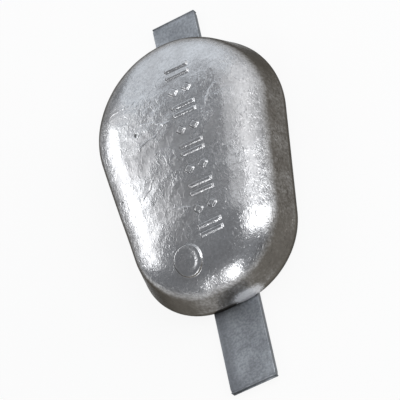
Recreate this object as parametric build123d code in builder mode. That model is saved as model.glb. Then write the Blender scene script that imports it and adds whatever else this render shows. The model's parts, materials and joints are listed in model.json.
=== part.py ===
"""Weld-on sacrificial hull anode: an egg-shaped casting with one flat steel bar through its back.

Frame: millimetres, +Z up. The hull side is the plane Z = 0, and the origin is the middle of the
bar's length on it. The long axis is Y, with the casting's wide end towards +Y. X runs across.
"""
import os
from math import acos, atan2, degrees, hypot

from build123d import *

# ---------------------------------------------------------------- driving dimensions (mm, degrees)
# casting
casting_length = 182.0          # over both rounded ends
casting_height = 41.0           # hull side to the flat front
wide_end_radius = 61.5          # the wide end is one full round
narrow_end_width = 105.5        # across the narrow end, before its corners are rounded
narrow_corner_radius = 47.0
widest_height = 8.5             # height of the widest line above the hull side
back_edge_radius = 7.5          # round between the hull side and the widest line
wall_draft = 17.0               # degrees that the wall leans in above the widest line
shoulder_radius = 21.0          # round between the wall and the front

# raised marks on the front
mark_height = 1.0               # how far they stand above the front
mark_draft = 25.0               # degrees that their sides lean in above the front
mark_root_depth = 8.0           # how far their roots start below the front
mark_row_offset = 10.5          # the row's distance from the middle, towards +X
mark_row_length = 110.0         # between the middles of its first and last marks
mark_count = 9
mark_span = 15.0                # length of a rib, across the row
rib_width = 2.6
rib_gap = 2.8                   # clear gap between the two ribs of a pair
stud_side = 4.4                 # side of a square stud, which stands on its corner
stud_spacing = 9.0              # between the middles of the two studs of a pair
pad_diameter = 18.0
pad_offset_x = -9.0             # the round pad's middle, across
pad_offset_y = -68.0            # and along, from the casting's middle

# steel bar
bar_width = 30.0
bar_thickness = 4.0
bar_edge_chamfer = 0.5          # on its four long edges
wide_tab_length = 26.0          # clear of the casting's wide end
narrow_tab_length = 51.5        # clear of the casting's narrow end

# ---------------------------------------------------------------- places worked out from them
bar_length = casting_length + wide_tab_length + narrow_tab_length
casting_centre_y = (narrow_tab_length - wide_tab_length) / 2
mark_pitch = mark_row_length / (mark_count - 1)

# The outline's circles: the wide end's, and the narrow end's corner on the +X side.
wide_centre_y = casting_centre_y + casting_length / 2 - wide_end_radius
corner_centre_y = casting_centre_y - casting_length / 2 + narrow_corner_radius
corner_centre_x = narrow_end_width / 2 - narrow_corner_radius

# One straight side touches both circles, and this is the angle from +X of its normal.
centres_run = hypot(corner_centre_x, corner_centre_y - wide_centre_y)
centres_angle = atan2(corner_centre_y - wide_centre_y, corner_centre_x)
side_angle = degrees(centres_angle + acos((wide_end_radius - narrow_corner_radius) / centres_run))

os.makedirs("parts", exist_ok=True)


# ---------------------------------------------------------------- steel bar
# A straight flat bar. It lies flush with the hull side of the casting and stands out at both ends.
with BuildPart() as steel_bar:
    with BuildSketch(Plane.XZ) as bar_section:
        Rectangle(bar_width, bar_thickness, align=(Align.CENTER, Align.MIN))
        chamfer(bar_section.vertices(), bar_edge_chamfer)
    extrude(amount=bar_length / 2, both=True)

steel_bar.part.label = "steel_bar"
export_step(steel_bar.part, "parts/steel_bar.step")


# ---------------------------------------------------------------- the casting's body
def casting_body(growth):
    """The body without its marks. With a growth, its wall and front stand that much further out."""
    with BuildPart() as body:
        # Outline at the widest line: a round end, two straight sides, a narrow end with round corners.
        with BuildSketch(Plane.XY.offset(widest_height)) as outline:
            with BuildLine():
                wide_end = CenterArc(
                    (0, wide_centre_y), wide_end_radius + growth, side_angle, 90 - side_angle
                )
                corner = CenterArc(
                    (corner_centre_x, corner_centre_y),
                    narrow_corner_radius + growth,
                    -90,
                    90 + side_angle,
                )
                Line(corner @ 1, wide_end @ 0)
                Line(corner @ 0, (0, (corner @ 0).Y))
                mirror(about=Plane.YZ)
            make_face()
        extrude(amount=casting_height + growth - widest_height, taper=wall_draft)
        extrude(outline.sketch, amount=-widest_height)

        # A wide round shoulder runs from the leaning wall into the flat front.
        front = body.faces().sort_by(Axis.Z)[-1]
        fillet(front.edges(), shoulder_radius + growth)
    return body.part


# ---------------------------------------------------------------- raised marks
# Plain cast-in marks: pairs of ribs and pairs of square studs take turns along one row, and a round
# pad lies beside the row's end, partly on the shoulder. All stand at one height above the body.
with BuildPart() as raised_marks:
    with BuildSketch(Plane.XY.offset(casting_height)) as mark_outlines:
        for index in range(mark_count):
            mark_y = casting_centre_y + (index - (mark_count - 1) / 2) * mark_pitch
            with Locations((mark_row_offset, mark_y)):
                if index % 2 == 0:
                    with GridLocations(0, rib_width + rib_gap, 1, 2):
                        Rectangle(mark_span, rib_width)
                else:
                    with GridLocations(stud_spacing, 0, 2, 1):
                        Rectangle(stud_side, stud_side, rotation=45)
        with Locations((pad_offset_x, casting_centre_y + pad_offset_y)):
            Circle(pad_diameter / 2)
    extrude(amount=mark_height, taper=mark_draft)
    extrude(mark_outlines.sketch, amount=-mark_root_depth)
    add(casting_body(mark_height), mode=Mode.INTERSECT)


# ---------------------------------------------------------------- casting
with BuildPart() as casting:
    add(casting_body(0))
    hull_side = casting.faces().sort_by(Axis.Z)[0]
    fillet(hull_side.edges(), back_edge_radius)
    add(raised_marks.part)
    add(steel_bar.part, mode=Mode.SUBTRACT)

casting.part.label = "casting"
export_step(casting.part, "parts/casting.step")
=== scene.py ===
# %% [markdown]
# # A sacrificial anode, dressed in Blender
# A sacrificial anode is a block of zinc that is bolted or welded under the waterline of a ship. It
# corrodes first, so the hull doesn't. The block is cast in an open mould around a flat steel bar,
# and the two bare ends of the bar are the tabs that get welded to the hull.
# The CAD model is loaded as a fixed frame, and every piece here is placed from it, in metres:
# Z up from the hull side, Y along the bar towards the wide end of the casting.

# %% Load the frame and the modules
import json
import math

import bmesh
import bpy
from mathutils import Matrix, Vector

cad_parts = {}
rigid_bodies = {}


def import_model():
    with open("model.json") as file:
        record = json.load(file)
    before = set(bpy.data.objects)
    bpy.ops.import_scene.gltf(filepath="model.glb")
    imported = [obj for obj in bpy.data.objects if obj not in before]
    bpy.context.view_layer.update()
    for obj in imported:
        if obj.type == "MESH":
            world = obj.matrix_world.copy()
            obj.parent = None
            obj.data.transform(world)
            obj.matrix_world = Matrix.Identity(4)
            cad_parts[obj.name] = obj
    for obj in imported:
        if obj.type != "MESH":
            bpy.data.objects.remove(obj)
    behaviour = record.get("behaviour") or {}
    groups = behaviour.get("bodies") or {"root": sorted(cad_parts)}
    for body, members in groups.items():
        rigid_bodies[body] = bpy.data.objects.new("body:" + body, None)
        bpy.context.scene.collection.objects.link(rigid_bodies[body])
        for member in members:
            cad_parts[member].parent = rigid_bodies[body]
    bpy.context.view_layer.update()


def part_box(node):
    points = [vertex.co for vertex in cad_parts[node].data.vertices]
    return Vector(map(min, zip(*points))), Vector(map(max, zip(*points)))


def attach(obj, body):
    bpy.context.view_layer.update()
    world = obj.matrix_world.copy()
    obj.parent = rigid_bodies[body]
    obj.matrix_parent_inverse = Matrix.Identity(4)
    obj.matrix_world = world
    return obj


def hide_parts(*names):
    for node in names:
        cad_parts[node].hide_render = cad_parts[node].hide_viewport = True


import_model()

# %% [markdown]
# ## Sizes that come from the frame
# The two solids of the CAD model say how long, wide and high everything is. The sizes that the boxes
# don't hold, such as the radius of the shoulder, are written once here, as a foundry drawing would.

# %% Sizes of the casting and the bar
MM = 0.001
cast_low, cast_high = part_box("casting")
bar_low, bar_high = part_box("steel_bar")
mark_height = 1.0 * MM
mark_crown = 0.2 * MM                                  # room over the sunk skin that the marks may use
wide_radius = (cast_high.x - cast_low.x) / 2           # the wide end is a half circle of this radius
front_height = cast_high.z - mark_height               # the plain front, under the raised marks
cast_length = cast_high.y - cast_low.y
cast_middle = (cast_high.y + cast_low.y) / 2
narrow_width = 105.5 * MM                              # over the flat of the narrow end's corners
corner_radius = 47.0 * MM
widest_height = 8.5 * MM                               # where the casting is widest, above the hull
back_round = 7.5 * MM
wall_draft = math.radians(17.0)
row_offset = 10.5 * MM                                 # how far the row of marks stands from the middle
spine_fall = 0.6 * MM                                  # how far the crest falls along its straight
print(f"casting {2000 * wide_radius:.1f} x {1000 * cast_length:.1f} mm,",
      f"front at {1000 * front_height:.1f} mm")

# %% [markdown]
# ## The camera
# A long lens from well back, above the narrow end and to its right, keeps the sides nearly parallel.
# The camera comes early, so that every later step can be judged in the same picture.

# %% Camera
camera_data = bpy.data.cameras.new("view_camera")
camera_data.sensor_width = 36.0
camera_data.lens = 293.206
camera_data.clip_start = 0.05
camera_data.clip_end = 60.0
camera = bpy.data.objects.new("view_camera", camera_data)
camera.location = (0.66573, -1.00913, 1.51366)
camera.rotation_euler = tuple(math.radians(a) for a in (25.843, 30.009, -12.207))
bpy.context.scene.collection.objects.link(camera)
bpy.context.scene.camera = camera
look_at = Vector((0.0, cast_middle, 20 * MM))          # the middle of the casting
print("camera stands", round((camera.location - look_at).length, 3), "m away")

# %% [markdown]
# ## The outline and the sections of the casting
# Seen from the front the casting is an egg: a half circle at the wide end, two smaller arcs at the
# narrow end, and straight flanks that touch them both. Seen in section it has a small round at the
# back, a drafted wall, a wide round shoulder and a gently domed front. The wall leans alike all
# round, but the shoulder doesn't turn alike: it is tight on the left flank and at the wide end, and
# rounder on the right flank and at the narrow end. Such a form could be pushed about by hand, but
# its sizes would be lost. So four sections are worked out from the same wall and front, each with
# two radii of its own. A curve holds each of them as inset against height, and its third coordinate
# says how far a ring has closed in on the spine, which is how the front and the back are filled.

# %% Outline of the casting
wide_centre = cast_high.y - wide_radius
corner_y = cast_low.y + corner_radius
corner_x = narrow_width / 2 - corner_radius
run = math.hypot(corner_x, corner_y - wide_centre)
flank_angle = (math.atan2(corner_y - wide_centre, corner_x)
               + math.acos((wide_radius - corner_radius) / run))


def arc_points(x, y, radius, start, stop, steps):
    """Points of an arc from one angle to another, both ends included."""
    return [(x + radius * math.cos(start + (stop - start) * i / steps),
             y + radius * math.sin(start + (stop - start) * i / steps), 0.0) for i in range(steps + 1)]


outline = arc_points(0.0, wide_centre, wide_radius, flank_angle, math.pi - flank_angle, 240)
outline += arc_points(-corner_x, corner_y, corner_radius, math.pi - flank_angle, 1.5 * math.pi, 120)
outline += arc_points(corner_x, corner_y, corner_radius, -0.5 * math.pi, flank_angle, 120)
print(len(outline), "points round the outline, flank at", round(math.degrees(flank_angle), 2), "degrees")

# %% Sections of the casting
COLLAPSE = 0.04                                        # one full closing-in, as a length of the profile
BACK_STEPS, ROUND_STEPS, WALL_STEPS, SHOULDER_STEPS, FRONT_STEPS = 16, 12, 16, 48, 44
tighten_start, tighten_end = 25.0, 42.0                # degrees of lean between which the radius changes


def shoulder_radius(tilt, inner, outer):
    """The radius of the shoulder where its skin leans by that tilt, from the front's to the wall's."""
    share = (math.degrees(tilt) - tighten_start) / (tighten_end - tighten_start)
    return inner + (outer - inner) * min(1.0, max(0.0, share))


def section(edge_tilt, inner, outer):
    """One section: the front reaches the shoulder at that tilt, then the shoulder follows two radii."""
    wall_tilt = 0.5 * math.pi - wall_draft
    turn = (wall_tilt - edge_tilt) / SHOULDER_STEPS
    tilts = [wall_tilt - turn * (i + 0.5) for i in range(SHOULDER_STEPS)]
    inward = [shoulder_radius(t, inner, outer) * math.cos(t) * turn for t in tilts]
    upward = [shoulder_radius(t, inner, outer) * math.sin(t) * turn for t in tilts]
    fall = 0.0
    for _ in range(30):                                # the fall and the wall's top depend on each other
        wall_top = front_height - fall - sum(upward)
        edge_inset = (wall_top - widest_height) * math.tan(wall_draft) + sum(inward)
        fall = (wide_radius - edge_inset) * math.tan(edge_tilt) / 2
    points = [(back_round, 0.0, COLLAPSE * (1 - i / BACK_STEPS)) for i in range(BACK_STEPS + 1)]
    for i in range(1, ROUND_STEPS + 1):
        share = i / ROUND_STEPS
        lean = 0.5 * math.pi * share
        points.append((back_round * (1 - math.sin(lean)),
                       (widest_height - back_round) * share + back_round * (1 - math.cos(lean)), 0.0))
    for i in range(1, WALL_STEPS + 1):
        height = widest_height + (wall_top - widest_height) * i / WALL_STEPS
        points.append(((height - widest_height) * math.tan(wall_draft), height, 0.0))
    for step_in, step_up in zip(inward, upward):
        points.append((points[-1][0] + step_in, points[-1][1] + step_up, 0.0))
    edge_inset, edge_height = points[-1][0], points[-1][1]
    for i in range(1, FRONT_STEPS + 1):
        share = i / FRONT_STEPS
        points.append((edge_inset, edge_height + (front_height - edge_height) * (1 - (1 - share) ** 2),
                       COLLAPSE * share))
    print(f"wall up to {1000 * wall_top:.1f} mm, front falls {1000 * fall:.2f} mm")
    return points


sections = {
    "Left Section": section(math.radians(5.0), 34 * MM, 10.5 * MM),
    "Right Section": section(math.radians(5.0), 30 * MM, 24 * MM),
    "Wide Section": section(math.radians(8.0), 30 * MM, 9.5 * MM),
    "Narrow Section": section(math.radians(8.0), 38 * MM, 24 * MM)}
section_points = len(sections["Left Section"])
print(section_points, "points up each section")


def poly_curve(name, points, closed):
    """A curve object of straight steps through the points."""
    data = bpy.data.curves.new(name, "CURVE")
    data.dimensions = "3D"
    spline = data.splines.new("POLY")
    spline.points.add(len(points) - 1)
    for place, point in zip(spline.points, points):
        place.co = (*point, 1.0)
    spline.use_cyclic_u = closed
    thing = bpy.data.objects.new(name, data)
    bpy.context.scene.collection.objects.link(thing)
    return thing


outline_curve = poly_curve("outline_curve", outline, True)
section_curves = {title: poly_curve(title.lower().replace(" ", "_"), points, False)
                  for title, points in sections.items()}

# %% [markdown]
# ## Small helpers for node trees
# A node tree reads best when it is built in the order in which it works. These helpers add a node,
# set its options and join its inputs in one line, so that the rule stays in view.

# %% Node helpers
def add_node(tree, kind, options=None, **inputs):
    """A node of that kind. An input goes by its name, with _ for a space, or by i and its index."""
    node = tree.nodes.new(kind)
    for key, value in (options or {}).items():
        setattr(node, key, value)
    for key, value in inputs.items():
        if key[0] == "i" and key[1:].isdigit():
            socket = node.inputs[int(key[1:])]
        else:
            socket = node.inputs[key.replace("_", " ")]
        if isinstance(value, bpy.types.NodeSocket):
            tree.links.new(value, socket)
        else:
            socket.default_value = value
    return node


def maths(tree, operation, a, b=0.0, clamp=False):
    """One sum of two numbers, each a value or another node's output."""
    return add_node(tree, "ShaderNodeMath", {"operation": operation, "use_clamp": clamp},
                    i0=a, i1=b).outputs[0]


def vector_maths(tree, operation, a, b=(0.0, 0.0, 0.0)):
    """One sum of two vectors."""
    return add_node(tree, "ShaderNodeVectorMath", {"operation": operation}, i0=a, i1=b).outputs[0]


def scaled(tree, vector, factor):
    """A vector times a number."""
    return add_node(tree, "ShaderNodeVectorMath", {"operation": "SCALE"}, i0=vector,
                    Scale=factor).outputs[0]


def parts_of(tree, vector):
    """The three parts of a vector."""
    return add_node(tree, "ShaderNodeSeparateXYZ", i0=vector).outputs


def eased(tree, value, start, end, low=0.0, high=1.0):
    """A number that goes smoothly from low to high while the value goes from start to end."""
    return add_node(tree, "ShaderNodeMapRange", {"interpolation_type": "SMOOTHSTEP"}, Value=value,
                    From_Min=start, From_Max=end, To_Min=low, To_Max=high).outputs[0]


def mixed_color(tree, share, first, second, blend="MIX"):
    """Two colours mixed by that share, or blended in another way."""
    return add_node(tree, "ShaderNodeMix", {"data_type": "RGBA", "blend_type": blend},
                    i0=share, i6=first, i7=second).outputs[2]


def placed_group(tree, shared, **inputs):
    """The outputs of a shader group that is placed in a tree with its own values."""
    return add_node(tree, "ShaderNodeGroup", {"node_tree": shared}, **inputs).outputs


def new_tree(name, kind, inputs, outputs):
    """A node group whose named sockets are made from (name, type, value) rows."""
    tree = bpy.data.node_groups.new(name, kind)
    for title, sort, value in inputs:
        socket = tree.interface.new_socket(name=title, in_out="INPUT", socket_type=sort)
        if value is not None:
            socket.default_value = value
    for title, sort in outputs:
        tree.interface.new_socket(name=title, in_out="OUTPUT", socket_type=sort)
    return tree, tree.nodes.new("NodeGroupInput"), tree.nodes.new("NodeGroupOutput")


def set_inputs(modifier, values):
    """Sets a Geometry Nodes modifier's inputs by the identifiers of its sockets."""
    for item in modifier.node_group.interface.items_tree:
        if item.item_type == "SOCKET" and item.in_out == "INPUT" and item.name in values:
            modifier[item.identifier] = values[item.name]


def bake_piece(host, name):
    """The evaluated result of an object's modifiers as a plain mesh object at the origin."""
    graph = bpy.context.evaluated_depsgraph_get()
    mesh = bpy.data.meshes.new_from_object(host.evaluated_get(graph))
    mesh.name = name
    piece = bpy.data.objects.new(name, mesh)
    bpy.context.scene.collection.objects.link(piece)
    return piece


# %% [markdown]
# ## The materials' names, made early
# Geometry Nodes set the material on what they make, so the two finishes exist from here on. Their
# nodes come later, once there is something to look at.

# %% Empty materials
zinc = bpy.data.materials.new("as_cast_zinc")
coated_steel = bpy.data.materials.new("galvanised_steel")
for finish in (zinc, coated_steel):
    finish.use_nodes = True
    finish.node_tree.nodes.clear()

# %% [markdown]
# ## The casting's body
# The real body is poured into a mould, so it is one smooth form that follows a rule: every height of
# a section is a ring of the outline, drawn in by the section's inset. It could be modelled by hand
# with a subdivision surface, but the rule is exact and stays easy to change, so Geometry Nodes make
# it from a grid: one direction runs round the outline and the other up the section. The four
# sections are mixed by the way that the wall faces, so that one runs into the next. A slow noise
# then lets the skin sink a little here and there, as it does when zinc shrinks while it sets. It
# only ever goes inwards, so the body stays inside the size that the CAD gives.

# %% Body tree
tree, given, result = new_tree(
    "casting_by_rule", "GeometryNodeTree",
    [("Geometry", "NodeSocketGeometry", None), ("Outline", "NodeSocketObject", None),
     ("Left Section", "NodeSocketObject", None), ("Right Section", "NodeSocketObject", None),
     ("Wide Section", "NodeSocketObject", None), ("Narrow Section", "NodeSocketObject", None),
     ("Steps Around", "NodeSocketInt", 480), ("Steps Up", "NodeSocketInt", 130),
     ("Collapse Length", "NodeSocketFloat", COLLAPSE), ("Spine Middle", "NodeSocketFloat", 0.0),
     ("Spine Half Length", "NodeSocketFloat", 0.03), ("Spine Fall", "NodeSocketFloat", 0.0),
     ("Sink Depth", "NodeSocketFloat", 0.0), ("Sink Scale", "NodeSocketFloat", 30.0),
     ("Seed", "NodeSocketFloat", 4.0), ("Material", "NodeSocketMaterial", None)],
    [("Geometry", "NodeSocketGeometry")])
given_out = given.outputs
grid = add_node(tree, "GeometryNodeMeshGrid", Size_X=1.0, Size_Y=1.0,
                Vertices_X=given_out["Steps Around"], Vertices_Y=given_out["Steps Up"])
place = add_node(tree, "GeometryNodeInputPosition").outputs[0]
place_parts = parts_of(tree, place)
around = maths(tree, "ADD", place_parts[0], 0.5, clamp=True)
upward = maths(tree, "ADD", place_parts[1], 0.5, clamp=True)
outline_shape = add_node(tree, "GeometryNodeObjectInfo", i0=given_out["Outline"]).outputs["Geometry"]
on_outline = add_node(tree, "GeometryNodeSampleCurve", {"mode": "FACTOR", "use_all_curves": True},
                      Curves=outline_shape, Factor=around)
outward = vector_maths(tree, "CROSS_PRODUCT", on_outline.outputs["Tangent"], (0.0, 0.0, 1.0))
station = maths(tree, "ROUND", maths(
    tree, "MULTIPLY", upward, maths(tree, "SUBTRACT", given_out["Steps Up"], 1.0)))


def at_station(title):
    """The point of a section curve that belongs to this height of the grid."""
    shape = add_node(tree, "GeometryNodeObjectInfo", i0=given_out[title]).outputs["Geometry"]
    return add_node(tree, "GeometryNodeSampleIndex", {"data_type": "FLOAT_VECTOR", "domain": "POINT"},
                    Geometry=shape, Value=place, Index=station).outputs[0]


def between(share, start, end):
    """A vector that goes from one to the other by that share."""
    return add_node(tree, "ShaderNodeMix", {"data_type": "VECTOR"}, i0=share, i4=start, i5=end).outputs[1]


outward_parts = parts_of(tree, outward)
to_wide = maths(tree, "MAXIMUM", outward_parts[1], 0.0)
to_narrow = maths(tree, "MINIMUM", outward_parts[1], 0.0)
mixed = between(maths(tree, "GREATER_THAN", outward_parts[0], 0.0), at_station("Left Section"),
                at_station("Right Section"))
mixed = between(maths(tree, "MULTIPLY", to_wide, to_wide), mixed, at_station("Wide Section"))
mixed = between(maths(tree, "MULTIPLY", to_narrow, to_narrow), mixed, at_station("Narrow Section"))
rule = parts_of(tree, mixed)
ring = vector_maths(tree, "SUBTRACT", on_outline.outputs["Position"], scaled(tree, outward, rule[0]))
ring_y = parts_of(tree, ring)[1]
spine_y = add_node(
    tree, "ShaderNodeClamp", Value=ring_y,
    Min=maths(tree, "SUBTRACT", given_out["Spine Middle"], given_out["Spine Half Length"]),
    Max=maths(tree, "ADD", given_out["Spine Middle"], given_out["Spine Half Length"])).outputs[0]
along = maths(tree, "DIVIDE", maths(tree, "SUBTRACT", spine_y, given_out["Spine Middle"]),
              given_out["Spine Half Length"])
closing = maths(tree, "DIVIDE", rule[2], given_out["Collapse Length"], clamp=True)
upper = eased(tree, rule[1], 12 * MM, 38 * MM)
sag = maths(tree, "MULTIPLY", maths(tree, "MULTIPLY", along, along),
            maths(tree, "MULTIPLY", upper, given_out["Spine Fall"]))
spine = add_node(tree, "ShaderNodeCombineXYZ", Y=spine_y).outputs[0]
flat_place = between(closing, ring, spine)
lift = add_node(tree, "ShaderNodeCombineXYZ", Z=maths(tree, "SUBTRACT", rule[1], sag)).outputs[0]
shaped = add_node(tree, "GeometryNodeSetPosition", Geometry=grid.outputs["Mesh"],
                  Position=vector_maths(tree, "ADD", flat_place, lift))
welded = add_node(tree, "GeometryNodeMergeByDistance", Geometry=shaped.outputs[0],
                  Distance=0.02 * MM)
slow = add_node(tree, "ShaderNodeTexNoise", {"noise_dimensions": "4D"}, Vector=place, W=given_out["Seed"],
                Scale=given_out["Sink Scale"], Detail=2.0, Roughness=0.45)
above_hull = eased(tree, place_parts[2], 2 * MM, 12 * MM)
sinking = maths(tree, "MULTIPLY", maths(tree, "MULTIPLY", slow.outputs[0], above_hull),
                given_out["Sink Depth"])
facing = add_node(tree, "GeometryNodeInputNormal").outputs[0]
relief = add_node(tree, "GeometryNodeSetPosition", Geometry=welded.outputs[0],
                  Offset=scaled(tree, facing, maths(tree, "MULTIPLY", sinking, -1.0)))
smooth = add_node(tree, "GeometryNodeSetShadeSmooth", Geometry=relief.outputs[0])
whole = add_node(tree, "GeometryNodeRealizeInstances", Geometry=smooth.outputs[0])
dressed = add_node(tree, "GeometryNodeSetMaterial", Geometry=whole.outputs[0],
                   Material=given_out["Material"])
tree.links.new(dressed.outputs[0], result.inputs[0])
print("the body's tree has", len(tree.nodes), "nodes")

# %% Make the body
body_host = bpy.data.objects.new("body_host", bpy.data.meshes.new("body_host"))
bpy.context.scene.collection.objects.link(body_host)
body_rule = body_host.modifiers.new("casting_by_rule", "NODES")
body_rule.node_group = tree
set_inputs(body_rule, {
    **section_curves, "Outline": outline_curve, "Steps Around": 521, "Steps Up": section_points,
    "Collapse Length": COLLAPSE, "Spine Middle": cast_middle,
    "Spine Half Length": cast_length / 2 - wide_radius, "Spine Fall": spine_fall,
    "Sink Depth": 0.5 * MM, "Sink Scale": 34.0, "Seed": 4.0, "Material": zinc})
cast_body = bake_piece(body_host, "cast_body")
print("body:", len(cast_body.data.polygons), "faces")

# %% [markdown]
# ## The channel for the bar
# The molten zinc closes round the bar, whose back is flush with the back of the casting. The body
# could be cut through the whole mesh by hand; a Boolean with a plain block of the bar's own size
# gives the same channel in one exact step.

# %% Cut the channel
cutter_mesh = bpy.data.meshes.new("channel_cutter")
cutter_build = bmesh.new()
bmesh.ops.create_cube(cutter_build, size=1.0)
deep = bar_high.z + 2 * MM                             # the cutter starts below the hull side
overrun = 20 * MM                                      # and is longer than the bar
for vertex in cutter_build.verts:
    vertex.co = ((bar_high.x - bar_low.x) * vertex.co.x,
                 (bar_high.y - bar_low.y + overrun) * vertex.co.y,
                 bar_high.z - deep / 2 + deep * vertex.co.z)
cutter_build.to_mesh(cutter_mesh)
cutter_build.free()
cutter = bpy.data.objects.new("channel_cutter", cutter_mesh)
bpy.context.scene.collection.objects.link(cutter)
cut = cast_body.modifiers.new("channel", "BOOLEAN")
cut.operation = "DIFFERENCE"
cut.solver = "EXACT"
cut.object = cutter
cut_body = bake_piece(cast_body, "cast_block")
bpy.data.objects.remove(cast_body)
bpy.data.objects.remove(cutter)
print("body with its channel:", len(cut_body.data.polygons), "faces")

# %% [markdown]
# ## The raised marks
# Cast-in marks on the front are cut into the mould, so they stand proud with soft edges and run on
# over the shoulder. Here they are a plain pattern: pairs of ribs and pairs of studs in turn, and one
# round pad at the narrow end, dished in its middle. Each is a fine patch whose height is a smooth
# step from its own edge.
# Geometry Nodes set the patches out along the row, and a ray cast straight down lays every point of
# them on the body, so that they follow it without any fitting by hand.

# %% A soft raised form
form_tree, given, result = new_tree(
    "raised_form", "GeometryNodeTree",
    [("Geometry", "NodeSocketGeometry", None), ("Half Length", "NodeSocketFloat", 0.007),
     ("Half Width", "NodeSocketFloat", 0.001), ("Corner Radius", "NodeSocketFloat", 0.0005),
     ("Edge Width", "NodeSocketFloat", 0.001), ("Height", "NodeSocketFloat", 0.001),
     ("Dish Depth", "NodeSocketFloat", 0.0)],
    [("Geometry", "NodeSocketGeometry")])
given_out = given.outputs
place = add_node(form_tree, "GeometryNodeInputPosition").outputs[0]
away = vector_maths(form_tree, "ABSOLUTE", place)
straight_x = maths(form_tree, "SUBTRACT", given_out["Half Length"], given_out["Corner Radius"])
straight_y = maths(form_tree, "SUBTRACT", given_out["Half Width"], given_out["Corner Radius"])
half = add_node(form_tree, "ShaderNodeCombineXYZ", X=straight_x, Y=straight_y).outputs[0]
past = vector_maths(form_tree, "SUBTRACT", away, half)
outside = add_node(form_tree, "ShaderNodeVectorMath", {"operation": "LENGTH"},
                   i0=vector_maths(form_tree, "MAXIMUM", past, (0.0, 0.0, 0.0))).outputs["Value"]
past_parts = parts_of(form_tree, past)
inside = maths(form_tree, "MINIMUM", maths(form_tree, "MAXIMUM", past_parts[0], past_parts[1]), 0.0)
from_edge = maths(form_tree, "SUBTRACT", maths(form_tree, "ADD", outside, inside),
                  given_out["Corner Radius"])
rise = add_node(form_tree, "ShaderNodeMapRange", {"interpolation_type": "SMOOTHERSTEP"},
                Value=maths(form_tree, "DIVIDE", from_edge, given_out["Edge Width"]),
                From_Min=0.5, From_Max=-0.5).outputs[0]
hollow = eased(form_tree, maths(form_tree, "DIVIDE", from_edge, given_out["Half Length"]), -0.2, -0.55)
top = maths(form_tree, "SUBTRACT", given_out["Height"],
            maths(form_tree, "MULTIPLY", hollow, given_out["Dish Depth"]))
up = add_node(form_tree, "ShaderNodeCombineXYZ", Z=maths(form_tree, "MULTIPLY", rise, top)).outputs[0]
raised = add_node(form_tree, "GeometryNodeSetPosition", Geometry=given_out["Geometry"], Offset=up)
form_tree.links.new(raised.outputs[0], result.inputs[0])
print("one raised form takes", len(form_tree.nodes), "nodes")

# %% The row of marks
tree, given, result = new_tree(
    "row_of_marks", "GeometryNodeTree",
    [("Geometry", "NodeSocketGeometry", None), ("Body", "NodeSocketObject", None),
     ("Count", "NodeSocketInt", 9), ("Row Length", "NodeSocketFloat", 0.11),
     ("Row X", "NodeSocketFloat", 0.01), ("Row Y", "NodeSocketFloat", 0.0),
     ("Span", "NodeSocketFloat", 0.015), ("Rib Width", "NodeSocketFloat", 0.0026),
     ("Rib Gap", "NodeSocketFloat", 0.0028), ("Stud Side", "NodeSocketFloat", 0.0044),
     ("Stud Spacing", "NodeSocketFloat", 0.009), ("Pad Diameter", "NodeSocketFloat", 0.018),
     ("Pad X", "NodeSocketFloat", 0.0), ("Pad Y", "NodeSocketFloat", 0.0),
     ("Pad Dish", "NodeSocketFloat", 0.0),
     ("Mark Height", "NodeSocketFloat", 0.001), ("Edge Width", "NodeSocketFloat", 0.001),
     ("Sink", "NodeSocketFloat", 0.00004), ("Material", "NodeSocketMaterial", None)],
    [("Geometry", "NodeSocketGeometry")])
given_out = given.outputs


def raised_patch(length, width, corner, steps_x, steps_y, dish=0.0):
    """A grid with room for a soft edge, raised by the group above."""
    room = maths(tree, "MULTIPLY", given_out["Edge Width"], 1.1)
    patch = add_node(tree, "GeometryNodeMeshGrid", Size_X=maths(tree, "ADD", length, room),
                     Size_Y=maths(tree, "ADD", width, room), Vertices_X=steps_x, Vertices_Y=steps_y)
    form = add_node(tree, "GeometryNodeGroup", {"node_tree": form_tree}, Geometry=patch.outputs["Mesh"],
                    Half_Length=maths(tree, "MULTIPLY", length, 0.5),
                    Half_Width=maths(tree, "MULTIPLY", width, 0.5), Corner_Radius=corner,
                    Edge_Width=given_out["Edge Width"], Height=given_out["Mark Height"], Dish_Depth=dish)
    return form.outputs[0]


def moved(shape, x=0.0, y=0.0, turn=0.0):
    """A shape moved in the plan and turned about its own middle."""
    shift = add_node(tree, "ShaderNodeCombineXYZ", X=x, Y=y).outputs[0]
    return add_node(tree, "GeometryNodeTransform", Geometry=shape, Translation=shift,
                    Rotation=(0.0, 0.0, turn)).outputs[0]


def joined(*shapes):
    """Several shapes as one."""
    join = tree.nodes.new("GeometryNodeJoinGeometry")
    for shape in shapes:
        tree.links.new(shape, join.inputs[0])
    return join.outputs[0]


rib = raised_patch(given_out["Span"], given_out["Rib Width"], 0.6 * MM, 49, 15)
rib_step = maths(tree, "MULTIPLY", maths(tree, "ADD", given_out["Rib Width"], given_out["Rib Gap"]), 0.5)
rib_pair = joined(moved(rib, y=rib_step), moved(rib, y=maths(tree, "MULTIPLY", rib_step, -1.0)))
stud = raised_patch(given_out["Stud Side"], given_out["Stud Side"], 0.8 * MM, 19, 19)
stud_step = maths(tree, "MULTIPLY", given_out["Stud Spacing"], 0.5)
stud_pair = joined(moved(stud, x=stud_step, turn=math.pi / 4),
                   moved(stud, x=maths(tree, "MULTIPLY", stud_step, -1.0), turn=math.pi / 4))
pad_radius = maths(tree, "MULTIPLY", given_out["Pad Diameter"], 0.5)
pad = raised_patch(given_out["Pad Diameter"], given_out["Pad Diameter"],
                   maths(tree, "MULTIPLY", pad_radius, 0.9999), 57, 57, given_out["Pad Dish"])
step = maths(tree, "DIVIDE", given_out["Row Length"], maths(tree, "SUBTRACT", given_out["Count"], 1.0))
first = add_node(tree, "ShaderNodeCombineXYZ", X=given_out["Row X"], Y=maths(
    tree, "SUBTRACT", given_out["Row Y"], maths(tree, "MULTIPLY", given_out["Row Length"], 0.5))).outputs[0]
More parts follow.
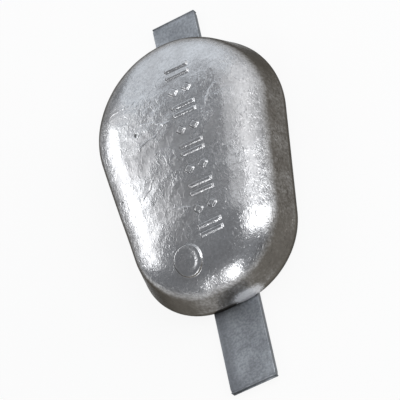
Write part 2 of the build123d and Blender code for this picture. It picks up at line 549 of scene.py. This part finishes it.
row = add_node(tree, "GeometryNodeMeshLine", Count=given_out["Count"], Start_Location=first,
               Offset=add_node(tree, "ShaderNodeCombineXYZ", Y=step).outputs[0]).outputs[0]
odd = maths(tree, "MODULO", add_node(tree, "GeometryNodeInputIndex").outputs[0], 2.0)
even = maths(tree, "SUBTRACT", 1.0, odd)
ribs = add_node(tree, "GeometryNodeInstanceOnPoints", Points=row, Selection=even, Instance=rib_pair)
studs = add_node(tree, "GeometryNodeInstanceOnPoints", Points=row, Selection=odd, Instance=stud_pair)
every = joined(ribs.outputs[0], studs.outputs[0], moved(pad, x=given_out["Pad X"], y=given_out["Pad Y"]))
whole = add_node(tree, "GeometryNodeRealizeInstances", Geometry=every)
place = add_node(tree, "GeometryNodeInputPosition").outputs[0]
place_parts = parts_of(tree, place)
ray_start = 100 * MM                                   # well above the casting
over = add_node(tree, "ShaderNodeCombineXYZ", X=place_parts[0], Y=place_parts[1],
                Z=ray_start).outputs[0]
body_shape = add_node(tree, "GeometryNodeObjectInfo", i0=given_out["Body"]).outputs["Geometry"]
ray = add_node(tree, "GeometryNodeRaycast", Target_Geometry=body_shape, Source_Position=over,
               Ray_Direction=(0.0, 0.0, -1.0), Ray_Length=2 * ray_start)
proud = maths(tree, "SUBTRACT", place_parts[2], given_out["Sink"])
landed = vector_maths(tree, "ADD", ray.outputs["Hit Position"],
                      scaled(tree, ray.outputs["Hit Normal"], proud))
laid = add_node(tree, "GeometryNodeSetPosition", Geometry=whole.outputs[0], Position=landed)
smooth = add_node(tree, "GeometryNodeSetShadeSmooth", Geometry=laid.outputs[0])
realised = add_node(tree, "GeometryNodeRealizeInstances", Geometry=smooth.outputs[0])
dressed = add_node(tree, "GeometryNodeSetMaterial", Geometry=realised.outputs[0],
                   Material=given_out["Material"])
tree.links.new(dressed.outputs[0], result.inputs[0])
print("the row's tree has", len(tree.nodes), "nodes")

# %% Make the marks
marks_host = bpy.data.objects.new("marks_host", bpy.data.meshes.new("marks_host"))
bpy.context.scene.collection.objects.link(marks_host)
marks_rule = marks_host.modifiers.new("row_of_marks", "NODES")
marks_rule.node_group = tree
set_inputs(marks_rule, {
    "Body": cut_body, "Count": 9, "Row Length": 110 * MM, "Row X": row_offset, "Row Y": cast_middle,
    "Span": 15 * MM, "Rib Width": 2.6 * MM, "Rib Gap": 2.8 * MM, "Stud Side": 4.4 * MM,
    "Stud Spacing": 9 * MM, "Pad Diameter": 18 * MM, "Pad X": -9 * MM, "Pad Y": cast_middle - 68 * MM,
    "Pad Dish": 0.7 * MM, "Mark Height": mark_height + mark_crown, "Edge Width": 1.5 * MM,
    "Sink": 0.04 * MM, "Material": zinc})
cast_marks = bake_piece(marks_host, "cast_marks")
for spent in (marks_host, body_host, outline_curve, *section_curves.values()):
    bpy.data.objects.remove(spent)
print("marks:", len(cast_marks.data.polygons), "faces")

# %% [markdown]
# ## The steel bar
# The bar is a length of hot-rolled flat with slightly rounded arrises and sheared ends, dipped in
# zinc before the block was cast on it. A box would show knife edges, so the section is a rounded
# rectangle carried along the bar, and its end rings draw in to round the sheared ends too.

# %% Bar mesh
bar_wide = bar_high.x - bar_low.x
bar_thick = bar_high.z - bar_low.z
bar_middle_z = (bar_high.z + bar_low.z) / 2
arris = 0.6 * MM
CORNER_STEPS, WIDTH_STEPS, BAR_STEPS = 4, 14, 120


def bar_section(draw_in):
    """Points round the section, all drawn in by that much from the full size."""
    points = []
    half_w, half_t = bar_wide / 2 - arris, bar_thick / 2 - arris
    radius = arris - draw_in
    across = [-half_w + 2 * half_w * i / WIDTH_STEPS for i in range(1, WIDTH_STEPS)]
    points += [(x, -half_t - radius) for x in across]
    for cx, cz, start in ((half_w, -half_t, -90), (half_w, half_t, 0),
                          (-half_w, half_t, 90), (-half_w, -half_t, 180)):
        for i in range(CORNER_STEPS + 1):
            turn = math.radians(start + 90 * i / CORNER_STEPS)
            points.append((cx + radius * math.cos(turn), cz + radius * math.sin(turn)))
        if start == 0:
            points += [(x, half_t + radius) for x in reversed(across)]
    return points


bar_mesh = bpy.data.meshes.new("weld_bar")
bar_build = bmesh.new()
stations = []
for i in range(CORNER_STEPS + 1):
    turn = math.radians(90 * i / CORNER_STEPS)
    stations.append((bar_low.y + arris * (1 - math.sin(turn)), arris * (1 - math.cos(turn))))
start_y, end_y = bar_low.y + arris, bar_high.y - arris
end_rings = list(stations)
stations += [(start_y + (end_y - start_y) * i / BAR_STEPS, 0.0) for i in range(1, BAR_STEPS)]
stations += [(bar_high.y + bar_low.y - y, draw_in) for y, draw_in in reversed(end_rings)]
rings = []
for y, draw_in in stations:
    rings.append([bar_build.verts.new((x, y, bar_middle_z + z)) for x, z in bar_section(draw_in)])
for near, far in zip(rings, rings[1:]):
    for i in range(len(near)):
        j = (i + 1) % len(near)
        bar_build.faces.new((near[i], near[j], far[j], far[i]))
bar_build.faces.new(rings[0][::-1])
bar_build.faces.new(rings[-1])
bmesh.ops.remove_doubles(bar_build, verts=bar_build.verts, dist=1e-6)
bmesh.ops.recalc_face_normals(bar_build, faces=bar_build.faces)
for face in bar_build.faces:
    face.smooth = True
bar_build.to_mesh(bar_mesh)
bar_build.free()
weld_bar = bpy.data.objects.new("weld_bar", bar_mesh)
bpy.context.scene.collection.objects.link(weld_bar)
weld_bar.data.materials.append(coated_steel)
print("bar:", len(bar_mesh.polygons), "faces")

# %% [markdown]
# ## Shader groups that both metals share
# Cast zinc and galvanised steel are the same metal at the surface, so they share three effects: a fine
# grain of light and dark specks, a slow cloudy change of tone, and the crinkle of a skin that set
# while it shrank. Each is a group with its own named inputs, so that each finish can use it at its
# own scale.

# %% Grain group
grain_tree, given, result = new_tree(
    "metal_grain", "ShaderNodeTree",
    [("Vector", "NodeSocketVector", None), ("Scale", "NodeSocketFloat", 900.0),
     ("Swirl", "NodeSocketFloat", 1.0)],
    [("Mask", "NodeSocketFloat"), ("Height", "NodeSocketFloat")])
speck = add_node(grain_tree, "ShaderNodeTexNoise", Vector=given.outputs["Vector"],
                 Scale=given.outputs["Scale"], Detail=3.0, Roughness=0.6, Distortion=given.outputs["Swirl"])
mask = add_node(grain_tree, "ShaderNodeMapRange", Value=speck.outputs[0], From_Min=0.38, From_Max=0.62)
grain_tree.links.new(mask.outputs[0], result.inputs["Mask"])
grain_tree.links.new(speck.outputs[0], result.inputs["Height"])

# %% Cloud group
cloud_tree, given, result = new_tree(
    "tone_clouds", "ShaderNodeTree",
    [("Vector", "NodeSocketVector", None), ("Scale", "NodeSocketFloat", 40.0),
     ("Contrast", "NodeSocketFloat", 1.0),
     ("Light", "NodeSocketColor", (0.7, 0.7, 0.7, 1.0)), ("Dark", "NodeSocketColor", (0.5, 0.5, 0.5, 1.0))],
    [("Color", "NodeSocketColor"), ("Mask", "NodeSocketFloat")])
cloud = add_node(cloud_tree, "ShaderNodeTexNoise", Vector=given.outputs["Vector"],
                 Scale=given.outputs["Scale"], Detail=4.0, Roughness=0.55)
centred = maths(cloud_tree, "SUBTRACT", cloud.outputs[0], 0.5)
spread = maths(cloud_tree, "ADD", maths(cloud_tree, "MULTIPLY", centred, maths(
    cloud_tree, "MULTIPLY", given.outputs["Contrast"], 3.0)), 0.5, clamp=True)
tone = mixed_color(cloud_tree, spread, given.outputs["Dark"], given.outputs["Light"])
cloud_tree.links.new(tone, result.inputs["Color"])
cloud_tree.links.new(spread, result.inputs["Mask"])

# %% Crinkle group
crinkle_tree, given, result = new_tree(
    "skin_crinkle", "ShaderNodeTree",
    [("Vector", "NodeSocketVector", None), ("Scale", "NodeSocketFloat", 300.0),
     ("Swirl", "NodeSocketFloat", 1.0)],
    [("Height", "NodeSocketFloat")])
turned = add_node(crinkle_tree, "ShaderNodeMapping", Vector=given.outputs["Vector"],
                  Rotation=(0.0, 0.0, math.radians(-35.0)), Scale=(1.0, 0.5, 1.0)).outputs[0]
folds = add_node(crinkle_tree, "ShaderNodeTexNoise", Vector=turned, Scale=given.outputs["Scale"],
                 Detail=1.5, Roughness=0.5, Distortion=given.outputs["Swirl"]).outputs[0]
creases = maths(crinkle_tree, "ABSOLUTE", maths(crinkle_tree, "SUBTRACT", folds, 0.5))
crinkle_tree.links.new(maths(crinkle_tree, "ADD", creases, maths(crinkle_tree, "MULTIPLY", folds, 0.5)),
                       result.inputs["Height"])
print("three shared shader groups")

# %% [markdown]
# ## Lap lines and pin-holes
# Where two tongues of molten zinc met without quite fusing, a faint wavy line stays on the front: a
# lap. Trapped gas leaves pin-holes. A lap is drawn by how far a point is from a wavy line in the
# plan, and the pin-holes are the rare small cells of a Voronoi pattern. The same group, made very
# short, also draws the one larger blow-hole.

# %% Lap group
lap_tree, given, result = new_tree(
    "lap_line", "ShaderNodeTree",
    [("Vector", "NodeSocketVector", None), ("Middle X", "NodeSocketFloat", 0.0),
     ("Middle Y", "NodeSocketFloat", 0.0), ("Turn", "NodeSocketFloat", 0.0),
     ("Half Length", "NodeSocketFloat", 0.01), ("Width", "NodeSocketFloat", 0.0008)],
    [("Mask", "NodeSocketFloat")])
given_out = given.outputs
wander = 7 * MM                                        # how far a lap strays from its straight line
shift = add_node(lap_tree, "ShaderNodeCombineXYZ", X=given_out["Middle X"],
                 Y=given_out["Middle Y"]).outputs[0]
local = vector_maths(lap_tree, "SUBTRACT", given_out["Vector"], shift)
local = add_node(lap_tree, "ShaderNodeVectorRotate", {"rotation_type": "Z_AXIS"}, Vector=local,
                 Angle=maths(lap_tree, "MULTIPLY", given_out["Turn"], -1.0)).outputs[0]
local_parts = parts_of(lap_tree, local)
wave = add_node(lap_tree, "ShaderNodeTexNoise", Vector=given_out["Vector"], Scale=140.0,
                Detail=2.0).outputs[0]
off = maths(lap_tree, "ADD", local_parts[1], maths(lap_tree, "MULTIPLY", maths(
    lap_tree, "SUBTRACT", wave, 0.5), wander))
near = eased(lap_tree, maths(lap_tree, "DIVIDE", maths(lap_tree, "ABSOLUTE", off), given_out["Width"]),
             1.0, 0.0)
along_lap = maths(lap_tree, "DIVIDE", maths(lap_tree, "ABSOLUTE", local_parts[0]),
                  given_out["Half Length"])
within = eased(lap_tree, along_lap, 1.0, 0.6)
lap_tree.links.new(maths(lap_tree, "MULTIPLY", near, within), result.inputs["Mask"])
print("the lap group has", len(lap_tree.nodes), "nodes")

# %% [markdown]
# ## As-cast zinc
# Zinc that sets against a mould keeps a bright skin with fine crinkles, a few laps and pin-holes. Its
# steep walls are painted darker and browner than the front, as painted shade for the dark reflections
# that the walls show, and this painted shade climbs higher on one flank. Where the bar leaves the
# narrow end, a pale patch at the foot of the wall is a painted reflection of the bar: the wall shade
# is left out there and the metal is made less metallic, so that it looks pale and matt. The two ends
# and the strip round the marks set smoothest, and the flanks' shoulders crinkled most. A grey edge
# tint keeps the turned-away rim as dark as a dull metal's.

# %% Zinc: tone
tree = zinc.node_tree
spot = add_node(tree, "ShaderNodeTexCoord").outputs
clouds = placed_group(tree, cloud_tree, Vector=spot["Object"], Scale=30.0, Contrast=1.2,
                      Light=(0.74, 0.75, 0.77, 1.0), Dark=(0.55, 0.55, 0.56, 1.0))
grain = placed_group(tree, grain_tree, Vector=spot["Object"], Scale=620.0, Swirl=0.4)
# The steep walls get a dark brown tone by the way that they face: painted shade, for the dark reflections
# that they show.
wall_shade_clouds = placed_group(tree, cloud_tree, Vector=spot["Object"], Scale=70.0, Contrast=0.55,
                           Light=(0.164, 0.153, 0.136, 1.0), Dark=(0.124, 0.114, 0.101, 1.0))
shade_slope = (0.22, -0.27, 1.0)                     # the way that counts as up for the painted wall shade
corner_pull = -0.42                                    # more painted wall shade where x and y differ in sign
steep = add_node(tree, "ShaderNodeVectorMath", {"operation": "DOT_PRODUCT"}, i0=spot["Normal"],
                 i1=shade_slope).outputs["Value"]
lean = parts_of(tree, spot["Normal"])
corner = maths(tree, "MULTIPLY", maths(tree, "MULTIPLY", lean[0], lean[1]), corner_pull)
corner = maths(tree, "MAXIMUM", corner, 0.0)
steep = maths(tree, "SUBTRACT", steep, corner)
blotch = maths(tree, "MULTIPLY", maths(tree, "SUBTRACT", wall_shade_clouds["Mask"], 0.5), 0.10)
speckle = maths(tree, "MULTIPLY", maths(tree, "SUBTRACT", grain["Height"], 0.5), 0.22)
steep = maths(tree, "ADD", steep, maths(tree, "ADD", blotch, speckle))
wall = eased(tree, steep, 0.84, 0.44)
# A pale patch at the foot of the narrow end's wall, by the bar, is a painted reflection of the bar: the
# painted wall shade is taken away there.
foot_middle = (12 * MM, cast_low.y, 9 * MM)
foot_reach = (12 * MM, 7 * MM, 6 * MM)
foot_share = vector_maths(tree, "DIVIDE", vector_maths(tree, "SUBTRACT", spot["Object"], foot_middle),
                          foot_reach)
from_foot = add_node(tree, "ShaderNodeVectorMath", {"operation": "LENGTH"}, i0=foot_share).outputs["Value"]
from_foot = maths(tree, "ADD", from_foot, maths(tree, "SUBTRACT", grain["Height"], 0.5))
painted_bar_reflection = eased(tree, from_foot, 1.1, 0.6)
wall = maths(tree, "MULTIPLY", wall, maths(tree, "SUBTRACT", 1.0, painted_bar_reflection))
# The casting's tone with the painted wall shade mixed in.
wall_shaded_tone = mixed_color(tree, wall, clouds["Color"], wall_shade_clouds["Color"])
grain_tone = add_node(tree, "ShaderNodeCombineColor", Red=grain["Mask"], Green=grain["Mask"],
                      Blue=grain["Mask"]).outputs[0]
sparkle = mixed_color(tree, 0.15, wall_shaded_tone, grain_tone, "MULTIPLY")
print("zinc's tone takes", len(tree.nodes), "nodes")

# %% Zinc: laps and pin-holes
def lap_mask(x, y, turn, half_length, width):
    """One lap on the front: millimetres from the middle of the casting, and degrees."""
    return placed_group(tree, lap_tree, Vector=spot["Object"], Middle_X=x * MM,
                        Middle_Y=cast_middle + y * MM, Turn=math.radians(turn),
                        Half_Length=half_length * MM, Width=width * MM)[0]


laps = lap_mask(-10, 26, -24, 13, 0.9)
for x, y, turn, half_length in ((-17, 17, 12, 9), (-4, -36, -20, 11), (-22, -14, 48, 9),
                                (-30, 48, 8, 11), (28, 30, 60, 8)):
    laps = maths(tree, "MAXIMUM", laps, lap_mask(x, y, turn, half_length, 0.9))
holes = add_node(tree, "ShaderNodeTexVoronoi", {"feature": "F1"}, Vector=spot["Object"], Scale=95.0,
                 Randomness=1.0).outputs
hole_pick = add_node(tree, "ShaderNodeSeparateColor", Color=holes["Color"]).outputs[0]
pit = maths(tree, "MULTIPLY", eased(tree, holes["Distance"], 0.075, 0.03),
            maths(tree, "GREATER_THAN", hole_pick, 0.86))
blow_hole = lap_mask(-24, 25, 40, 1.4, 1.1)
pit = maths(tree, "MAXIMUM", pit, blow_hole)
# The pin-holes and the blow-hole are painted nearly black: painted shade in their hollows.
pit_shaded_tone = mixed_color(tree, maths(tree, "MULTIPLY", pit, 0.85), sparkle, (0.05, 0.05, 0.05, 1.0))

# %% Zinc: relief and shader
crinkle = placed_group(tree, crinkle_tree, Vector=spot["Object"], Scale=620.0, Swirl=0.8)[0]
dapple = add_node(tree, "ShaderNodeTexNoise", Vector=spot["Object"], Scale=120.0, Detail=1.0).outputs[0]
crinkle_share = add_node(tree, "ShaderNodeMapRange", Value=dapple, From_Min=0.35, From_Max=0.65,
                         To_Min=0.65, To_Max=1.0).outputs[0]
on_shoulder = eased(tree, lean[2], 0.985, 0.88, 1.0, 2.4)
crinkle_share = maths(tree, "MULTIPLY", crinkle_share, on_shoulder)
along_block = parts_of(tree, spot["Object"])
toward_wide = maths(tree, "SUBTRACT", along_block[1], maths(tree, "MULTIPLY", along_block[0], 0.5))
calm_wide = eased(tree, toward_wide, cast_middle + 28 * MM, cast_middle + 90 * MM, 1.0, 0.35)
calm_narrow = eased(tree, along_block[1], cast_middle - 48 * MM, cast_middle - 76 * MM, 1.0, 0.4)
from_row = maths(tree, "ABSOLUTE", maths(tree, "SUBTRACT", along_block[0], row_offset))
calm_row = eased(tree, from_row, 7 * MM, 14 * MM, 0.55, 1.0)
past_row = eased(tree, along_block[1], cast_middle - 56 * MM, cast_middle - 64 * MM)
calm_row = maths(tree, "MAXIMUM", calm_row, past_row)
calm = maths(tree, "MULTIPLY", maths(tree, "MULTIPLY", calm_wide, calm_narrow), calm_row)
height = maths(tree, "MULTIPLY", maths(tree, "MULTIPLY", crinkle, 0.6),
               maths(tree, "MULTIPLY", crinkle_share, calm))
height = maths(tree, "ADD", height, maths(tree, "MULTIPLY", grain["Height"], 0.12))
height = maths(tree, "ADD", height, maths(tree, "MULTIPLY", dapple, maths(tree, "MULTIPLY", calm, 0.8)))
height = maths(tree, "ADD", height, maths(tree, "MULTIPLY", laps, 0.28))
height = maths(tree, "SUBTRACT", height, maths(tree, "MULTIPLY", pit, 0.8))
skin = add_node(tree, "ShaderNodeBump", Strength=1.0, Distance=0.00038, Height=height)
rough = add_node(tree, "ShaderNodeMapRange", Value=clouds["Mask"], To_Min=0.29, To_Max=0.22).outputs[0]
rough = maths(tree, "ADD", rough, maths(tree, "MULTIPLY", wall, 0.02))
# The same patch is made less metallic, so that the painted reflection looks pale and matt.
metal_share = maths(tree, "SUBTRACT", 1.0, maths(tree, "MULTIPLY", painted_bar_reflection, 0.6))
shader = add_node(tree, "ShaderNodeBsdfPrincipled", Base_Color=pit_shaded_tone, Metallic=metal_share,
                  Roughness=rough, Specular_Tint=(0.35, 0.35, 0.35, 1.0), Normal=skin.outputs[0])
add_node(tree, "ShaderNodeOutputMaterial", Surface=shader.outputs[0])
print("as-cast zinc has", len(tree.nodes), "nodes")

# %% [markdown]
# ## Galvanised steel
# The dipped coat on the bar is matt and blue-grey, mottled where it weathered, with a finer and
# flatter grain than the casting's skin. Its narrow sides are painted darker than its faces as painted
# shade, and one margin of the longer tab is painted darker as painted shade. Both are masks: one
# from the way the face looks, one from its place.

# %% Coated steel material
tree = coated_steel.node_tree
spot = add_node(tree, "ShaderNodeTexCoord").outputs
clouds = placed_group(tree, cloud_tree, Vector=spot["Object"], Scale=60.0, Contrast=1.0,
                      Light=(0.47, 0.50, 0.54, 1.0), Dark=(0.31, 0.33, 0.36, 1.0))
grain = placed_group(tree, grain_tree, Vector=spot["Object"], Scale=700.0, Swirl=0.0)
grain_tone = add_node(tree, "ShaderNodeCombineColor", Red=grain["Mask"], Green=grain["Mask"],
                      Blue=grain["Mask"]).outputs[0]
speckled = mixed_color(tree, 0.3, clouds["Color"], grain_tone, "MULTIPLY")
crinkle = placed_group(tree, crinkle_tree, Vector=spot["Object"], Scale=240.0, Swirl=0.3)[0]
skin = add_node(tree, "ShaderNodeBump", Strength=0.5, Distance=0.0002,
                Height=maths(tree, "ADD", grain["Height"], maths(tree, "MULTIPLY", crinkle, 0.6)))
rough = add_node(tree, "ShaderNodeMapRange", Value=clouds["Mask"], To_Min=0.58, To_Max=0.46).outputs[0]
bar_place = parts_of(tree, spot["Object"])
# One margin of the longer tab, at the narrow end, is painted darker: painted shade.
margin = eased(tree, bar_place[0], -4 * MM, -13 * MM, 0.0, 0.6)
margin = maths(tree, "MULTIPLY", margin, maths(tree, "LESS_THAN", bar_place[1], cast_middle))
margin_shaded = mixed_color(tree, margin, speckled, (0.15, 0.16, 0.18, 1.0))
# The narrow sides are painted darker than the faces, by the way that they face: painted shade.
upright = eased(tree, parts_of(tree, spot["Normal"])[2], 0.8, 0.2, 0.0, 0.85)
side_shaded = mixed_color(tree, upright, margin_shaded, (0.10, 0.11, 0.12, 1.0))
shader = add_node(tree, "ShaderNodeBsdfPrincipled", Base_Color=side_shaded, Metallic=0.7, Roughness=rough,
                  Normal=skin.outputs[0])
add_node(tree, "ShaderNodeOutputMaterial", Surface=shader.outputs[0])
print("galvanised steel has", len(tree.nodes), "nodes")

# %% [markdown]
# ## The floor, the surroundings and the lamps
# A shiny casting shows what stands round it, so the lamps are seven soft boxes: two on the right, a
# broad one behind on the left, two dim ones behind and overhead, and a small bright one in front of
# the narrow end. The seventh stands close behind the left one and is larger and dimmer, so that
# highlight gets a soft rim. The floor is plain and pale. Camera, glossy and transmitted rays see it
# nearly white, and the rest of it still takes the shadow.

# %% Floor
floor_mesh = bpy.data.meshes.new("floor")
floor_build = bmesh.new()
bmesh.ops.create_grid(floor_build, x_segments=4, y_segments=4, size=12.0)
floor_drop = 0.05 * MM                                 # keeps the floor clear of the hull side
floor_build.to_mesh(floor_mesh)
floor_build.free()
floor = bpy.data.objects.new("floor", floor_mesh)
floor_mesh.transform(Matrix.Translation((0, 0, -floor_drop)))
bpy.context.scene.collection.objects.link(floor)
pale = bpy.data.materials.new("pale_floor")
pale.use_nodes = True
pale.node_tree.nodes.clear()
tree = pale.node_tree
path = add_node(tree, "ShaderNodeLightPath").outputs
seen = maths(tree, "MAXIMUM", path["Is Camera Ray"],
             maths(tree, "MAXIMUM", path["Is Glossy Ray"], path["Is Transmission Ray"]))
matt = add_node(tree, "ShaderNodeBsdfDiffuse", Color=(0.88, 0.88, 0.88, 1.0)).outputs[0]
white = add_node(tree, "ShaderNodeEmission", Color=(1.0, 1.0, 1.0, 1.0), Strength=1.0).outputs[0]
mixed = add_node(tree, "ShaderNodeMixShader", i0=maths(tree, "MULTIPLY", seen, 0.9), i1=matt,
                 i2=white).outputs[0]
add_node(tree, "ShaderNodeOutputMaterial", Surface=mixed)
floor_mesh.materials.append(pale)
print("floor:", len(floor_mesh.polygons), "faces")

# %% World
world = bpy.data.worlds.new("surroundings")
bpy.context.scene.world = world
world.use_nodes = True
world.node_tree.nodes.clear()
sky = add_node(world.node_tree, "ShaderNodeBackground", Color=(0.225, 0.23, 0.24, 1.0), Strength=1.0)
add_node(world.node_tree, "ShaderNodeOutputWorld", Surface=sky.outputs[0])


# %% Soft boxes
def soft_box(name, azimuth, elevation, distance, width, height, glow, tint=(1.0, 1.0, 1.0)):
    """A rectangular lamp that faces the casting. Azimuth 0 is in front of the narrow end and 90 on the
    right. Its glow is how bright its face looks, where 1 is white, and its power follows from that."""
    data = bpy.data.lights.new(name, "AREA")
    data.shape = "RECTANGLE"
    data.size, data.size_y = width, height
    data.energy = glow * math.pi * width * height
    data.color = tint
    lamp = bpy.data.objects.new(name, data)
    turn, lift = math.radians(azimuth), math.radians(elevation)
    way = Vector((math.sin(turn) * math.cos(lift), -math.cos(turn) * math.cos(lift), math.sin(lift)))
    lamp.location = look_at + distance * way
    lamp.rotation_euler = way.to_track_quat("Z", "Y").to_euler()
    lamp.visible_camera = False
    bpy.context.scene.collection.objects.link(lamp)


soft_box("box_right", 86, 36, 0.8, 0.48, 0.92, 2.5)
soft_box("box_right_back", 131, 30, 0.8, 0.42, 0.70, 1.12)
soft_box("box_back_left", -115, 33, 0.8, 0.44, 0.34, 1.45)
soft_box("box_back_left_rim", -115, 33, 0.82, 0.64, 0.48, 1.05)
soft_box("box_back", -178, 24, 0.8, 0.86, 0.60, 0.78, (0.90, 0.95, 1.0))
soft_box("box_over", 164, 58, 0.8, 0.34, 0.32, 0.6)
soft_box("box_front", -4, 20, 0.8, 0.20, 0.40, 4.8)
print(len(bpy.data.lights), "soft boxes")

# %% [markdown]
# ## The pieces on the body
# Each piece rides on the one body of the object, and the CAD solid in whose place it stands is hidden.

# %% Ride and replace
for piece, node in ((cut_body, "casting"), (cast_marks, "casting"), (weld_bar, "steel_bar")):
    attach(piece, "root")
    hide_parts(node)

scene = bpy.context.scene
scene.view_settings.view_transform = "Standard"
